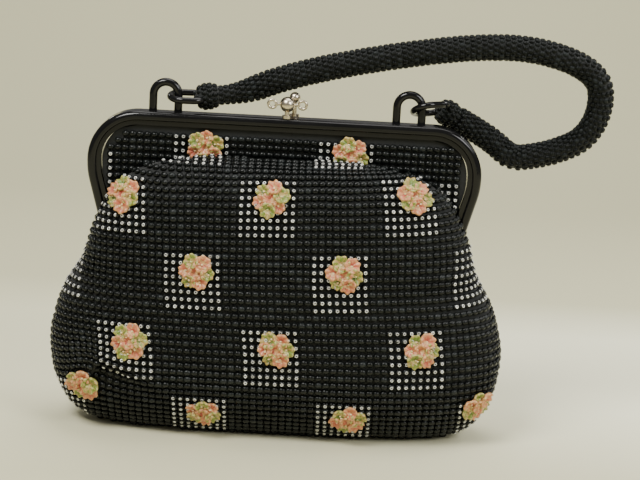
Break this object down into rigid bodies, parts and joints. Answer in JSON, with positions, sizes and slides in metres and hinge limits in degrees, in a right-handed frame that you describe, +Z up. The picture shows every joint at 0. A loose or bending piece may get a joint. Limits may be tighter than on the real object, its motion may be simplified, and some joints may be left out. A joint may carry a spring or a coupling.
{
  "type": "beaded handbag",
  "caption": "Small frame handbag of black beaded cloth with crystal-bead squares and sewn rosettes, a hinged glossy frame, a ball clasp and a beaded rope handle.",
  "frame": {"origin": "on the floor, under the middle of the pouch", "axes": "+X to the right as seen from the front, +Y to the rear, +Z up"},
  "size_m": [0.2641, 0.079, 0.1994],
  "materials": {
    "beaded_cloth": "black glass beads on cloth",
    "lining_cloth": "satin",
    "black_moulding": "glossy black",
    "pin_metal": "dull steel",
    "clasp_metal": "worn plating",
    "beaded_rope": "black glass beads on cord",
    "rosette_beads": "opaque beads"
  },
  "bodies": {
    "bag": {"pouch": "beaded_cloth", "lining": "lining_cloth", "rear_panel": "beaded_cloth", "rear_lining": "lining_cloth", "rear_frame": "black_moulding", "hinge_pin_left": "pin_metal", "hinge_pin_right": "pin_metal", "loop_left": "black_moulding", "loop_right": "black_moulding", "clasp_rear": "clasp_metal", "rosettes_pouch_front": "rosette_beads", "rosettes_pouch_rear": "rosette_beads", "rosettes_upper_rear": "rosette_beads"},
    "front": {"front_frame": "black_moulding", "clasp_front": "clasp_metal", "front_panel": "beaded_cloth", "front_lining": "lining_cloth", "rosettes_upper_front": "rosette_beads"},
    "handle": {"link_left": "black_moulding", "link_right": "black_moulding", "handle_end_left": "beaded_rope", "handle_end_right": "beaded_rope", "handle_rope": "beaded_rope"}
  },
  "joints": [
    {"name": "frame_open", "type": "hinge", "parent": "bag", "child": "front", "pos_m": [0, 0, 0.089], "axis": [1, 0, 0], "range_deg": [0, 60], "deforming": ["front_panel", "front_lining", "rosettes_upper_front"]},
    {"name": "handle_swing", "type": "hinge", "parent": "bag", "child": "handle", "pos_m": [0, 0.0024, 0.161], "axis": [1, 0, 0], "range_deg": [0, 30]}
  ]
}
